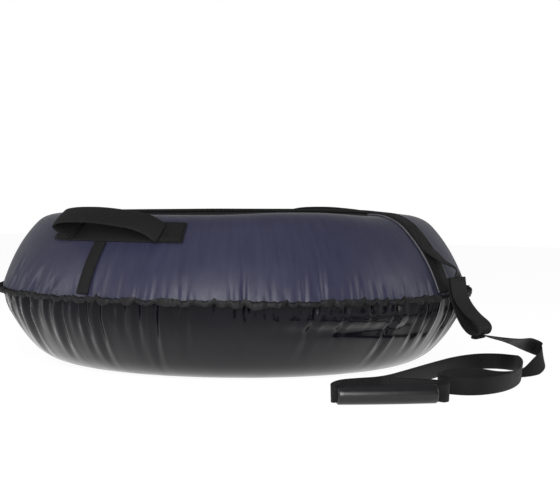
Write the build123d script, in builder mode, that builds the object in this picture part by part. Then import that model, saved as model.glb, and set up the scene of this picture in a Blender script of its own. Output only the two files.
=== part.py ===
from build123d import *
import os
from math import atan2, cos, degrees, hypot, pi, radians, sin, sqrt, tan

# Towable tube: an inflated rubber ring in a two-part sewn cover, with two carrying handles
# and a webbing tow leash. Millimetres, +Z up, origin at the middle of the flat underside.
# The tow strap is at +X and the handles are at -Y (near) and +Y (far).

# ---- driving dimensions ----
seam_r = 440.0  # radius at which the two covers are sewn together
seam_z = 136.0  # height of that seam above the ground
seam_reach = 128.0  # how far the seam stands out from the circle of the crest and the belly
ring_r = seam_r - seam_reach  # radius of that circle
tube_h = 276.0  # height of the crest above the ground
crest_bend = 84.0  # bend of the upper cover over the crest
belly_bend = 100.0  # bend of the lower cover under the belly
outer_turn = 45.0  # slope, in degrees, at which both bends run into the flatter flanks
cover_t = 2.0  # thickness of the cover fabrics
lay = 0.3  # clearance between soft layers that lie on each other

well_turn = 55.0  # slope at which the crest's bend runs into the seat well's wall
well_top = 15.0  # slope, inside the crest, where the black lining takes over
well_reach = 122.0  # how far the seat floor's edge lies inside the crest
floor_r = ring_r - well_reach  # radius of the seat floor
floor_z = 80.0  # height of the seat floor
seam_tape_w = 6.0  # half width, in degrees of slope, of the tape over the lining's seam

binding_w = 11.0  # how far the gathered seam binding stands out
binding_h = 18.0  # its height
binding_edge = 4.0  # rounding of its outer edge

bladder_wall = 1.5
bladder_shy = 9.0  # degrees of slope by which the ring stops short of the cover's sharp seam
bladder_foot = 76.0  # rounding of the ring's inner lower side

webbing_t = 2.4  # thickness of the webbings
handle_w = 44.0  # width of the handle's sewn base strip
handle_slope = 46.5  # slope of the cover under the middle of a handle
handle_half = 20.5  # half the angle about Z that the base strip covers
patch_angle = 8.0  # angle about Z of each stitched end patch
side_strap_shift = 1.8  # angle about Z from a handle's middle to its side strap
grip_w = 42.0  # width of the handle's raised strap
grip_lift = 43.5  # how high that strap stands off the cover
side_strap_w = 25.0

band_w = 50.0  # width of the tow band and the tow strap
band_edge_r = 1.8  # radius of the piping along the tow band
lift_slope = 55.0  # slope where the tow strap leaves the cover

leash_w = 28.0  # width of the leash webbing
leash_r = sqrt(leash_w * webbing_t / pi)  # a round of the webbing's own section area
grip_len = 148.0
grip_r = 14.5
grip_bore_r = 10.5
grip_rim = 2.0

zip_r = 150.0  # radius of the zip on the seat floor
zip_arc = 150.0  # degrees of arc that it covers, centred on -X
zip_tape_w = 26.0
zip_tape_t = 1.2
zip_teeth_w = 6.0
zip_teeth_t = 2.0
zip_tooth_gap = 0.3  # running clearance of the slider over the teeth

valve_low = 15.0  # degrees that the valve points below the horizontal
valve_stem_r = 4.0
valve_bore_r = 2.0
valve_stem_len = 30.0
valve_patch_r = 16.0
valve_patch_t = 2.5
valve_cap_wall = 1.6
valve_cap_len = 11.0
spin_gap = 0.1  # radial running clearance of turning pieces


# ---- one side of the ring's section: a bend over the ring's circle, then a flatter flank ----
class Side:
    """Points of a side are named by their slope, in degrees from the top of the bend."""

    def __init__(self, edge_r, edge_z, top_z, bend, turn):
        self.out = 1 if edge_r > ring_r else -1
        self.up = 1 if top_z > edge_z else -1
        self.bend = bend
        self.turn = turn
        self.centre = (ring_r, top_z - self.up * bend)
        start_r, start_z = self.place(self.centre, bend, turn)
        run = abs(edge_r - start_r)
        fall = abs(edge_z - start_z)
        lean = degrees(atan2(fall, run)) - turn
        self.flank = hypot(run, fall) / (2 * sin(radians(lean)))
        self.end = turn + 2 * lean
        self.flank_centre = self.place((start_r, start_z), -self.flank, turn)

    def place(self, centre, radius, slope):
        r = centre[0] + self.out * radius * sin(radians(slope))
        z = centre[1] + self.up * radius * cos(radians(slope))
        return (r, z)

    def point(self, slope, lift=0.0):
        """Radius and height of the point at this slope, lifted off the middle of the fabric."""
        if slope <= self.turn:
            return self.place(self.centre, self.bend + lift, slope)
        return self.place(self.flank_centre, self.flank + lift, slope)

    def further(self, slope, distance):
        """The slope this far down the fabric from another slope."""
        before_turn = radians(self.turn - slope) * self.bend
        if slope >= self.turn and distance >= 0:
            return slope + degrees(distance / self.flank)
        if slope >= self.turn:
            rise = radians(slope - self.turn) * self.flank + distance
            radius = self.flank if rise >= 0 else self.bend
            return self.turn + degrees(rise / radius)
        if distance <= before_turn:
            return slope + degrees(distance / self.bend)
        return self.turn + degrees((distance - before_turn) / self.flank)

    def draw(self, first, last, lift):
        """Draw the side from one slope to another in the open BuildLine."""
        low, high = sorted((first, last))
        stops = [low, self.turn, high] if low < self.turn < high else [low, high]
        for a, b in zip(stops, stops[1:]):
            middle = self.point((a + b) / 2, lift)
            ThreePointArc(self.point(a, lift), middle, self.point(b, lift))

    def draw_strip(self, first, last, lift, thickness):
        """Draw the closed outline of a layer of the given thickness."""
        self.draw(first, last, lift)
        self.draw(first, last, lift + thickness)
        Line(self.point(first, lift), self.point(first, lift + thickness))
        Line(self.point(last, lift), self.point(last, lift + thickness))


half_t = cover_t / 2
seam_gap = 2 * lay
upper = Side(seam_r, seam_z + seam_gap / 2, tube_h - half_t, crest_bend, outer_turn)
lower = Side(seam_r, seam_z - seam_gap / 2, half_t, belly_bend, outer_turn)
well = Side(floor_r, floor_z, tube_h - half_t, crest_bend, well_turn)


def meridian(azimuth):
    """The upright plane through Z at this azimuth, with its x outwards and its y upwards."""
    a = radians(azimuth)
    return Plane(origin=(0, 0, 0), x_dir=(cos(a), sin(a), 0), z_dir=(sin(a), -cos(a), 0))


def bend_radii(points):
    """The radius of each bend of a route: as large as its two runs allow."""
    radii = []
    for a, b, c in zip(points, points[1:], points[2:]):
        before = Vector(*b) - Vector(*a)
        after = Vector(*c) - Vector(*b)
        half_turn = radians(before.get_angle(after) / 2)
        radii.append(0.45 * min(before.length, after.length) / tan(half_turn))
    return radii


# ---- covers ----
with BuildPart() as upper_cover:
    with BuildSketch(Plane.XZ):
        with BuildLine():
            upper.draw_strip(-well_top, upper.end, -half_t, cover_t)
        make_face()
    revolve(axis=Axis.Z)
upper_cover.part.label = "upper_cover"

with BuildPart() as lower_cover:
    with BuildSketch(Plane.XZ):
        with BuildLine():
            lower.draw(0, lower.end, -half_t)
            lower.draw(0, lower.end, half_t)
            Line(lower.point(lower.end, -half_t), lower.point(lower.end, half_t))
            Polyline((ring_r, cover_t), (0, cover_t), (0, 0), (ring_r, 0))
        make_face()
    revolve(axis=Axis.Z)
lower_cover.part.label = "lower_cover"

with BuildPart() as seam_binding:
    binding_r = seam_r + half_t + lay
    with BuildSketch(Plane.XZ):
        with Locations((binding_r + binding_w / 2, seam_z)):
            Rectangle(binding_w, binding_h)
        fillet(vertices().group_by(Axis.X)[-1], binding_edge)
    revolve(axis=Axis.Z)
seam_binding.part.label = "seam_binding"

# ---- seat well, its floor and the tape over the seam between navy and black ----
with BuildPart() as seat_well:
    with BuildSketch(Plane.XZ):
        with BuildLine():
            well.draw_strip(well_top, well.end, -half_t, cover_t)
        make_face()
    revolve(axis=Axis.Z)
seat_well.part.label = "seat_well"

with BuildPart() as seat_floor:
    floor_top = floor_z - lay
    with BuildSketch(Plane.XY.offset(floor_top - cover_t)):
        Circle(floor_r + half_t)
    extrude(amount=cover_t)
seat_floor.part.label = "seat_floor"

with BuildPart() as well_seam_tape:
    with BuildSketch(Plane.XZ):
        with BuildLine():
            tape_lift = half_t + lay
            well.draw_strip(well_top - seam_tape_w, well_top + seam_tape_w, tape_lift, 1.0)
        make_face()
    revolve(axis=Axis.Z)
well_seam_tape.part.label = "well_seam_tape"

# ---- air bladder and valve ----
inset = half_t + lay


def draw_bladder(depth):
    """Draw the section of the rubber ring, this deep below the covers' middle surfaces."""
    foot_r = well.point(well.end, -depth)[0]
    foot_z = lower.point(0, -depth)[1]
    inner_foot = bladder_foot - (depth - inset)
    upper.draw(0, upper.end - bladder_shy, -depth)
    Line(upper.point(upper.end - bladder_shy, -depth), lower.point(lower.end - bladder_shy, -depth))
    lower.draw(0, lower.end - bladder_shy, -depth)
    Line((ring_r, foot_z), (foot_r + inner_foot, foot_z))
    middle = inner_foot * (1 - cos(radians(45)))
    bend_mid = (foot_r + middle, foot_z + middle)
    ThreePointArc((foot_r + inner_foot, foot_z), bend_mid, (foot_r, foot_z + inner_foot))
    Line((foot_r, foot_z + inner_foot), well.point(well.end, -depth))
    well.draw(0, well.end, -depth)


with BuildPart() as air_bladder:
    with BuildSketch(Plane.XZ):
        with BuildLine():
            draw_bladder(inset)
        make_face()
    revolve(axis=Axis.Z)
    with BuildSketch(Plane.XZ):
        with BuildLine():
            draw_bladder(inset + bladder_wall)
        make_face()
    revolve(axis=Axis.Z, mode=Mode.SUBTRACT)
air_bladder.part.label = "air_bladder"

# The valve stands on the ring's rounded inner side, at -X, and points at the middle.
bend_centre_r = well.point(well.end, -inset)[0] + bladder_foot
bend_centre_z = lower.point(0, -inset)[1] + bladder_foot
valve_root_r = bend_centre_r - bladder_foot * cos(radians(valve_low))
valve_root_z = bend_centre_z - bladder_foot * sin(radians(valve_low))
valve_way = (cos(radians(valve_low)), 0, -sin(radians(valve_low)))
valve_seat_gap = 0.8  # the flat patch clears the ring's curve by this at its middle


def valve_plane(distance):
    """A plane square to the valve, this far out from the ring's surface."""
    x = -valve_root_r + distance * valve_way[0]
    z = valve_root_z + distance * valve_way[2]
    return Plane(origin=(x, 0, z), x_dir=(0, 1, 0), z_dir=valve_way)


with BuildPart() as valve_patch:
    with BuildSketch(valve_plane(valve_seat_gap)):
        Circle(valve_patch_r)
    extrude(amount=valve_patch_t)
    chamfer(edges().filter_by(GeomType.CIRCLE).group_by(Axis.X)[-1], 1.0)
valve_patch.part.label = "valve_patch"

stem_foot = valve_seat_gap + valve_patch_t
with BuildPart() as valve_stem:
    with BuildSketch(valve_plane(stem_foot)):
        Circle(valve_stem_r)
        Circle(valve_bore_r, mode=Mode.SUBTRACT)
    extrude(amount=valve_stem_len)
valve_stem.part.label = "valve_stem"

with BuildPart() as valve_core:
    core_len = valve_stem_len * 0.6
    with BuildSketch(valve_plane(stem_foot + valve_stem_len - core_len)):
        Circle(valve_bore_r)
    extrude(amount=core_len + 1.5)
valve_core.part.label = "valve_core"

with BuildPart() as valve_cap:
    cap_bore_r = valve_stem_r + spin_gap
    cap_foot = stem_foot + valve_stem_len - valve_cap_len + 3.0
    with BuildSketch(valve_plane(cap_foot)):
        Circle(cap_bore_r + valve_cap_wall)
    extrude(amount=valve_cap_len + valve_cap_wall)
    with BuildSketch(valve_plane(cap_foot)):
        Circle(cap_bore_r)
    extrude(amount=valve_cap_len, mode=Mode.SUBTRACT)
valve_cap.part.label = "valve_cap"


# ---- zip in the seat floor, through which the bladder is put in ----
def arc_strip(middle_r, width, z, thickness):
    """Extrude a flat strip that follows the zip's arc."""
    with BuildSketch(Plane.XY.offset(z)) as strip:
        Circle(middle_r + width / 2)
        Circle(middle_r - width / 2, mode=Mode.SUBTRACT)
        with BuildLine():
            far = 2 * middle_r
            half = radians(zip_arc / 2)
            edge = (-far * cos(half), far * sin(half))
            Polyline((0, 0), edge, (-far, far), (-far, -far), (edge[0], -edge[1]), (0, 0))
        make_face(mode=Mode.INTERSECT)
    extrude(strip.sketch, amount=thickness)


with BuildPart() as zip_tape:
    arc_strip(zip_r, zip_tape_w, floor_top, zip_tape_t)
zip_tape.part.label = "zip_tape"

teeth_z = floor_top + zip_tape_t
with BuildPart() as zip_teeth:
    arc_strip(zip_r, zip_teeth_w, teeth_z, zip_teeth_t)
zip_teeth.part.label = "zip_teeth"

slider_azimuth = 180 - zip_arc / 2 + 6.0
slider_z = teeth_z + zip_teeth_t + zip_tooth_gap
slider_len = 16.0
slider_w = 11.0
slider_t = 2.6
bridge_r = 1.2
bridge_z = slider_t + 2.2
bridge_span = 7.0
pull_len = 26.0
pull_w = 6.0
pull_t = 1.6


def slider_plane(height):
    """A level plane over the slider, with its x outwards and its y along the zip."""
    a = radians(slider_azimuth)
    centre = (zip_r * cos(a), zip_r * sin(a), slider_z + height)
    return Plane(origin=centre, x_dir=(cos(a), sin(a), 0), z_dir=(0, 0, 1))


with BuildPart() as zip_slider:
    with BuildSketch(slider_plane(0)):
        RectangleRounded(slider_w, slider_len, 3.0)
    extrude(amount=slider_t)
    with BuildSketch(slider_plane(slider_t)):
        with Locations((bridge_span / 2, 0), (-bridge_span / 2, 0)):
            Rectangle(1.6, 4.0)
    extrude(amount=bridge_z - slider_t + bridge_r + 0.6)
    bridge_side = slider_plane(bridge_z)
    with BuildSketch(Plane(bridge_side.origin, x_dir=bridge_side.y_dir, z_dir=bridge_side.x_dir)):
        Circle(bridge_r)
    extrude(amount=bridge_span / 2, both=True)
zip_slider.part.label = "zip_slider"

with BuildPart() as zip_pull:
    pull_bore_r = bridge_r + spin_gap
    pull_eye_r = pull_bore_r + 0.8
    eye_plane = Plane(bridge_side.origin, x_dir=bridge_side.y_dir, z_dir=bridge_side.x_dir)
    with BuildSketch(eye_plane):
        Circle(pull_eye_r)
        with Locations((pull_len / 2, 0)):
            Rectangle(pull_len, pull_t)
        Circle(pull_bore_r, mode=Mode.SUBTRACT)
    extrude(amount=(bridge_span - 1.6 - 0.6) / 2 * 0.8, both=True)
zip_pull.part.label = "zip_pull"


# ---- carrying handles, made at -Y and mirrored to +Y ----
base_lift = half_t + lay
handle_r = upper.point(handle_slope)[0]
handle_z = upper.point(handle_slope)[1]
near = -90.0


def handle_layer(first_azimuth, angle, lift, width):
    """Revolve a layer that lies on the cover under a handle."""
    with BuildSketch(meridian(first_azimuth)) as layer:
        with BuildLine():
            top_slope = upper.further(handle_slope, -width / 2)
            bottom_slope = upper.further(handle_slope, width / 2)
            upper.draw_strip(top_slope, bottom_slope, lift, webbing_t)
        make_face()
    revolve(layer.sketch, axis=Axis.Z, revolution_arc=angle)


with BuildPart() as near_handle_base:
    handle_layer(near - handle_half, 2 * handle_half, base_lift, handle_w)
near_handle_base.part.label = "near_handle_base"

patch_lift = base_lift + webbing_t + lay
with BuildPart() as near_handle_patches:
    patch_w = handle_w - 3.0
    handle_layer(near - handle_half + 0.5, patch_angle, patch_lift, patch_w)
    handle_layer(near + handle_half - patch_angle - 0.5, patch_angle, patch_lift, patch_w)
near_handle_patches.part.label = "near_handle_patches"

# The raised strap's own plane: x along the handle, y straight off the cover.
slope = radians(handle_slope)
strap_plane = Plane(
    origin=(0, -handle_r, handle_z),
    x_dir=(1, 0, 0),
    z_dir=(0, -cos(slope), -sin(slope)),
)


def cover_fall(x):
    """How far the cover has curved away, straight down off the handle, at a distance x along it."""
    return x * x / (2 * handle_r) * sin(slope)


def foot(x):
    """Where an end of the raised strap rests on its patch."""
    return (x, patch_lift + 1.4 * webbing_t + lay - cover_fall(x))


patch_inner = handle_half - 0.5 - patch_angle
right_x = handle_r * sin(radians(patch_inner + 3.4))
left_x = handle_r * sin(radians(patch_inner + 0.6))
with BuildPart() as near_handle_strap:
    with BuildSketch(strap_plane):
        with BuildLine() as strap_line:
            FilletPolyline(
                foot(right_x),
                (right_x - 26, grip_lift - 14),
                (-5, grip_lift),
                (-left_x + 2, grip_lift - 3),
                (-left_x - 21, grip_lift - 12.5),
                (-left_x - 10, 10),
                foot(-left_x),
                radius=[60, 200, 60, 11, 20],
            )
        trace(line_width=webbing_t)
    extrude(amount=grip_w / 2, both=True)
near_handle_strap.part.label = "near_handle_strap"

with BuildPart() as near_side_strap:
    with BuildSketch(meridian(near - side_strap_shift)):
        with BuildLine():
            strap_top = upper.further(handle_slope, handle_w / 2 + 1.0)
            upper.draw_strip(strap_top, upper.end - 2.5, base_lift, webbing_t)
        make_face()
    extrude(amount=side_strap_w / 2, both=True)
near_side_strap.part.label = "near_side_strap"

with BuildPart() as far_handle_base:
    mirror(near_handle_base.part, about=Plane.XZ)
far_handle_base.part.label = "far_handle_base"

with BuildPart() as far_handle_patches:
    mirror(near_handle_patches.part, about=Plane.XZ)
far_handle_patches.part.label = "far_handle_patches"

with BuildPart() as far_handle_strap:
    mirror(near_handle_strap.part, about=Plane.XZ)
far_handle_strap.part.label = "far_handle_strap"

with BuildPart() as far_side_strap:
    mirror(near_side_strap.part, about=Plane.XZ)
far_side_strap.part.label = "far_side_strap"

# ---- tow band, its piping and the tow strap sewn over it, at +X ----
band_top = -8.0
with BuildPart() as tow_band:
    with BuildSketch(Plane.XZ):
        with BuildLine():
            upper.draw_strip(band_top, upper.end - 2.5, base_lift, webbing_t)
        make_face()
    extrude(amount=band_w / 2, both=True)
tow_band.part.label = "tow_band"

with BuildPart() as tow_band_piping:
    pipe_lift = base_lift + 1.0
    pipe_out = band_w / 2 + lay
    with BuildSketch(Plane.XZ.offset(pipe_out)):
        with BuildLine():
            upper.draw_strip(band_top, upper.end - 2.5, pipe_lift, 2 * band_edge_r)
        make_face()
    extrude(amount=2 * band_edge_r)
    mirror(about=Plane.XZ)
tow_band_piping.part.label = "tow_band_piping"

strap_lift = base_lift + webbing_t + lay
with BuildPart() as tow_strap:
    with BuildSketch(Plane.XZ):
        with BuildLine():
            upper.draw_strip(band_top + 2.0, lift_slope, strap_lift, webbing_t)
        make_face()
    extrude(amount=band_w / 2 - 2.0, both=True)
tow_strap.part.label = "tow_strap"

# The strap's free tail turns on the outer edge of the line where it leaves the cover.
tail_slope = lift_slope + degrees(2 * lay / upper.flank)
tail_r, tail_z = upper.point(tail_slope, strap_lift + webbing_t / 2)
tail_run = Vector(27, -21)
tail_face = tail_run.normalized() * (webbing_t / 2)
pivot_r, pivot_z = (tail_r - tail_face.Y, tail_z + tail_face.X)
loop_top_r, loop_top_z = (seam_r + 21.0, seam_z + 35.0)
tail_route = [
    (tail_r, tail_z),
    (tail_r + tail_run.X, tail_z + tail_run.Y),
    (loop_top_r + 0.5, loop_top_z + 14),
    (loop_top_r + 1, loop_top_z + lay),
]
with BuildPart() as tow_strap_tail:
    with BuildSketch(Plane.XZ):
        with BuildLine():
            FilletPolyline(*tail_route, radius=bend_radii(tail_route))
        trace(line_width=webbing_t)
    extrude(amount=leash_w / 2, both=True)
tow_strap_tail.part.label = "tow_strap_tail"

# The tow loop is one webbing folded round an eye and sewn to itself above it.
eye_r, eye_z = (seam_r + 66.0, seam_z - 44.0)
loop_route = [
    (loop_top_r + 1.5, loop_top_z),
    (loop_top_r + 9, loop_top_z - 37),
    (eye_r - 12, eye_z + 15),
    (eye_r + 14, eye_z - 2),
    (eye_r + 2, eye_z - 15),
    (eye_r - 24, eye_z - 3),
    (loop_top_r + 4, loop_top_z - 39),
    (loop_top_r - 2.5, loop_top_z),
]
with BuildPart() as tow_loop:
    with BuildSketch(Plane.XZ):
        with BuildLine():
            FilletPolyline(*loop_route, radius=bend_radii(loop_route))
        trace(line_width=webbing_t)
    extrude(amount=band_w / 2, both=True)
tow_loop.part.label = "tow_loop"

# ---- leash: its route from the tow loop, round one loose turn, and round the hand grip ----
grip_start = Vector(457.0, -415.5, grip_r)
grip_end = Vector(569.0, -318.3, grip_r)
leash_route = [
    (506.0, 0.0, 74.0),
    (524.0, 12.0, 69.0),
    (541.0, 62.0, 60.0),
    (532.0, 130.0, 51.0),
    (527.0, 192.0, 41.0),
    (541.0, 224.0, 31.0),
    (560.0, 188.0, 20.0),
    (567.0, 118.0, 11.0),
    (574.0, 62.0, 5.5),
    (552.0, 10.0, 5.5),
    (540.0, -62.0, 12.0),
    (512.0, -130.0, 14.5),
    (510.0, -192.0, 14.5),
    (544.0, -228.0, 14.5),
    (592.0, -216.0, 14.5),
    (612.0, -150.0, 14.5),
    (606.0, -70.0, 16.0),
    (590.0, -15.0, 22.0),
    (556.0, 52.0, 22.0),
    (532.0, 100.0, 16.0),
    (492.0, 122.0, 14.5),
    (460.0, 96.0, 14.5),
    (447.0, 30.0, 14.5),
    (450.0, -60.0, 14.5),
    (458.0, -180.0, 14.5),
    (464.0, -282.0, 14.5),
    (440.0, -322.0, 14.5),
    (418.0, -356.0, 14.5),
    (426.0, -404.0, 14.5),
    (446.0, -425.0, 14.5),
    (500.0, -378.2, 14.5),
    (526.0, -355.5, 14.5),
    (581.0, -308.5, 14.5),
    (578.0, -284.0, 14.5),
    (552.0, -266.0, 14.5),
    (514.0, -274.0, 14.5),
    (478.0, -290.0, 14.5),
]


leash_radii = bend_radii(leash_route)
with BuildPart() as leash:
    with BuildLine() as leash_line:
        FilletPolyline(*leash_route, radius=leash_radii)
    first_run = Vector(*leash_route[1]) - Vector(*leash_route[0])
    with BuildSketch(Plane(origin=leash_route[0], z_dir=first_run)):
        Circle(leash_r)
    sweep()
leash.part.label = "leash"
leash_len = sum(edge.length for edge in leash_line.line.edges())
print("leash length", round(leash_len, 1), "radii", [round(r, 1) for r in leash_radii])
print("leash volume ratio", leash.part.volume / (pi * leash_r**2 * leash_len))

grip_way = (grip_end - grip_start).normalized()
grip_middle = (grip_start + grip_end) * 0.5
with BuildPart() as leash_grip:
    with BuildSketch(Plane(origin=grip_middle, z_dir=grip_way)):
        Circle(grip_r)
        Circle(grip_bore_r, mode=Mode.SUBTRACT)
    extrude(amount=grip_len / 2, both=True)
    rims = edges().filter_by(GeomType.CIRCLE).filter_by(lambda e: e.radius > grip_r - 0.1)
    fillet(rims, min(grip_rim, (grip_r - grip_bore_r) / 2))
leash_grip.part.label = "leash_grip"

# The bar tack closes the hand loop: it binds the leash's end to its own standing part.
tack_at = Vector(469.5, -287.0, 14.5)
with BuildPart() as leash_bar_tack:
    tack_way = Vector(*leash_route[-2]) - Vector(*leash_route[-1])
    with BuildSketch(Plane(origin=tack_at, x_dir=tack_way, z_dir=(0, 0, 1))):
        Rectangle(16.0, 9.0)
    extrude(amount=leash_w / 2 - 1.0, both=True)
leash_bar_tack.part.label = "leash_bar_tack"

# The leash's first end is folded into a sewn tab under the tow loop's eye.
tab_len = 15.0
tab_t = 7.0
with BuildPart() as leash_tab:
    loop_bottom = tow_loop.part.bounding_box().min.Z
    with BuildSketch(Plane.XY.offset(loop_bottom - lay)):
        with Locations((eye_r - 3.5, 0)):
            Rectangle(tab_len, leash_w)
    extrude(amount=-tab_t)
leash_tab.part.label = "leash_tab"

os.makedirs("parts", exist_ok=True)
export_step(upper_cover.part, "parts/upper_cover.step")
export_step(lower_cover.part, "parts/lower_cover.step")
export_step(seam_binding.part, "parts/seam_binding.step")
export_step(seat_well.part, "parts/seat_well.step")
export_step(seat_floor.part, "parts/seat_floor.step")
export_step(well_seam_tape.part, "parts/well_seam_tape.step")
export_step(air_bladder.part, "parts/air_bladder.step")
export_step(valve_patch.part, "parts/valve_patch.step")
export_step(valve_stem.part, "parts/valve_stem.step")
export_step(valve_core.part, "parts/valve_core.step")
export_step(valve_cap.part, "parts/valve_cap.step")
export_step(zip_tape.part, "parts/zip_tape.step")
export_step(zip_teeth.part, "parts/zip_teeth.step")
export_step(zip_slider.part, "parts/zip_slider.step")
export_step(zip_pull.part, "parts/zip_pull.step")
export_step(near_handle_base.part, "parts/near_handle_base.step")
export_step(near_handle_patches.part, "parts/near_handle_patches.step")
export_step(near_handle_strap.part, "parts/near_handle_strap.step")
export_step(near_side_strap.part, "parts/near_side_strap.step")
export_step(far_handle_base.part, "parts/far_handle_base.step")
export_step(far_handle_patches.part, "parts/far_handle_patches.step")
export_step(far_handle_strap.part, "parts/far_handle_strap.step")
export_step(far_side_strap.part, "parts/far_side_strap.step")
export_step(tow_band.part, "parts/tow_band.step")
export_step(tow_band_piping.part, "parts/tow_band_piping.step")
export_step(tow_strap.part, "parts/tow_strap.step")
export_step(tow_strap_tail.part, "parts/tow_strap_tail.step")
export_step(tow_loop.part, "parts/tow_loop.step")
export_step(leash.part, "parts/leash.step")
export_step(leash_grip.part, "parts/leash_grip.step")
export_step(leash_bar_tack.part, "parts/leash_bar_tack.step")
export_step(leash_tab.part, "parts/leash_tab.step")
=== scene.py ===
import random
from math import atan2, cos, degrees, hypot, pi, radians, sin

import bpy
import numpy as np
from mathutils import Matrix, Vector


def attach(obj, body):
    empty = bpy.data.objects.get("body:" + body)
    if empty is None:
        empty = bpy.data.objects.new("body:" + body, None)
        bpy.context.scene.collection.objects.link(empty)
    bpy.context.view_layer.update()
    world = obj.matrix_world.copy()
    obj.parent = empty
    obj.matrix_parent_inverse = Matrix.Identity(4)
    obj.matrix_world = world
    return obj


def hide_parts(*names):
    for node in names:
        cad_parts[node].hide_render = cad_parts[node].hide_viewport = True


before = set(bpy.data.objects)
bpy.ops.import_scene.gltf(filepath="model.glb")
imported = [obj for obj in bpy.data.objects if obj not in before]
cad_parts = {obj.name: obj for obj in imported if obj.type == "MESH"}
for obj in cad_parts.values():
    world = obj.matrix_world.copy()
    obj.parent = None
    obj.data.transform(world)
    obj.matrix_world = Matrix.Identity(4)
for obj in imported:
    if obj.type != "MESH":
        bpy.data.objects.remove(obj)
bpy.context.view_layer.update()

# ---- sizes, in metres ----
SEAM_R, SEAM_Z = 0.440, 0.136
RING_R, TUBE_H = 0.312, 0.276
FLOOR_R, FLOOR_Z = 0.190, 0.080
CLOTH = 0.001  # from the middle of a cover's cloth to its face
LAY = 0.0003  # between layers that lie on each other
WEBBING = 0.0024
CREST_BEND, BELLY_BEND = 0.084, 0.100
OUTER_TURN, WELL_TURN, WELL_TOP = 45.0, 55.0, 15.0
HANDLE_SLOPE, HANDLE_HALF, PATCH_ANGLE, HANDLE_W = 46.5, 20.5, 8.0, 0.044
GRIP_STRAP_W, SIDE_STRAP_W, SIDE_STRAP_SHIFT = 0.042, 0.025, 1.8
BAND_W, BAND_TOP, LIFT_SLOPE = 0.050, -8.0, 55.0
LEASH_W = 0.028
ZIP_R, ZIP_ARC = 0.150, 150.0
ROUND_STEPS = 840  # segments of the covers round the tube
BINDING_STEPS, WELL_STEPS, FLOOR_STEPS = 1500, 600, 240
VIEW_AZIMUTH = 33.5


# ---- making pieces ----
def deselect():
    bpy.ops.object.select_all(action="DESELECT")


def choose(piece, *others):
    """Select the pieces, the first as the active one."""
    deselect()
    for other in others:
        other.select_set(True)
    piece.select_set(True)
    bpy.context.view_layer.objects.active = piece


def join(piece, *others):
    choose(piece, *others)
    bpy.ops.object.join()


def edit(piece):
    choose(piece)
    bpy.ops.object.mode_set(mode="EDIT")


def leave_edit():
    bpy.ops.object.mode_set(mode="OBJECT")


def added(name):
    """The primitive just added, under its own name and with its place in its mesh."""
    piece = bpy.context.active_object
    piece.name = piece.data.name = name
    bpy.ops.object.transform_apply(location=True, rotation=True, scale=True)
    return piece


def apply_modifier(piece, kind, **settings):
    modifier = piece.modifiers.new(kind.title(), kind)
    for key, value in settings.items():
        setattr(modifier, key, value)
    choose(piece)
    bpy.ops.object.modifier_apply(modifier=modifier.name)


def shade(piece, angle=None):
    choose(piece)
    if angle is None:
        bpy.ops.object.shade_smooth()
    else:
        bpy.ops.object.shade_smooth_by_angle(angle=radians(angle))


def places(piece):
    """The piece's vertices as an array of points."""
    flat = np.zeros(len(piece.data.vertices) * 3)
    piece.data.vertices.foreach_get("co", flat)
    return flat.reshape(-1, 3)


def put(piece, points):
    piece.data.vertices.foreach_set("co", np.asarray(points, float).ravel())
    piece.data.update()


def edit_points(piece, chosen):
    """Open the piece with only the vertices of these numbers selected."""
    edit(piece)
    bpy.ops.mesh.select_mode(type="VERT")
    bpy.ops.mesh.select_all(action="DESELECT")
    leave_edit()
    for vertex in piece.data.vertices:
        vertex.select = vertex.index in chosen
    edit(piece)


def close_ring(piece, first, steps):
    """Fill the open ring that starts at a vertex number with one flat face."""
    edit_points(piece, range(first, first + steps))
    bpy.ops.mesh.edge_face_add()
    leave_edit()


def point_outwards(piece):
    edit(piece)
    bpy.ops.mesh.select_all(action="SELECT")
    bpy.ops.mesh.normals_make_consistent(inside=False)
    leave_edit()


def turned(name, section, steps, closed=False):
    """A shell turned about the tube's axis: a ring extruded from each point of the section to the next."""
    r, z = section[0]
    bpy.ops.mesh.primitive_circle_add(vertices=steps, radius=r, location=(0, 0, z))
    piece = added(name)
    edit(piece)
    bpy.ops.mesh.select_all(action="SELECT")
    for (r0, z0), (r1, z1) in zip(section, section[1:]):
        bpy.ops.mesh.extrude_edges_move(TRANSFORM_OT_translate={"value": (0, 0, z1 - z0)})
        bpy.ops.transform.resize(value=(r1 / r0, r1 / r0, 1), center_override=(0, 0, 0))
    if closed:
        leave_edit()
        last = (len(section) - 1) * steps
        edit_points(piece, {*range(steps), *range(last, last + steps)})
        bpy.ops.mesh.bridge_edge_loops()
    leave_edit()
    point_outwards(piece)
    return piece


def round_uv(piece, steps, run):
    """Lay the piece's UV out in metres: round the tube, and along its section."""
    for old in list(piece.data.uv_layers):
        piece.data.uv_layers.remove(old)
    layer = piece.data.uv_layers.new(name="cloth")
    for face in piece.data.polygons:
        turns = [v % steps for v in face.vertices]
        wrap = max(turns) - min(turns) > steps / 2
        for loop, v, turn in zip(face.loop_indices, face.vertices, turns):
            if wrap and turn < steps / 2:
                turn += steps
            layer.data[loop].uv = (turn / steps * 2 * pi * SEAM_R, run[v // steps])


def smooth_line(points, fineness=12):
    """Points read from one smooth NURBS curve that has these points as its control points."""
    curve = bpy.data.curves.new("line", "CURVE")
    curve.dimensions = "3D"
    curve.resolution_u = fineness
    spline = curve.splines.new("NURBS")
    spline.points.add(len(points) - 1)
    for place, point in zip(spline.points, points):
        place.co = (*point, 1)
    spline.order_u = 3
    spline.use_endpoint_u = True
    holder = bpy.data.objects.new("line", curve)
    mesh = bpy.data.meshes.new_from_object(holder)
    line = [v.co.copy() for v in mesh.vertices]
    bpy.data.meshes.remove(mesh)
    bpy.data.objects.remove(holder)
    bpy.data.curves.remove(curve)
    return line


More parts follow.
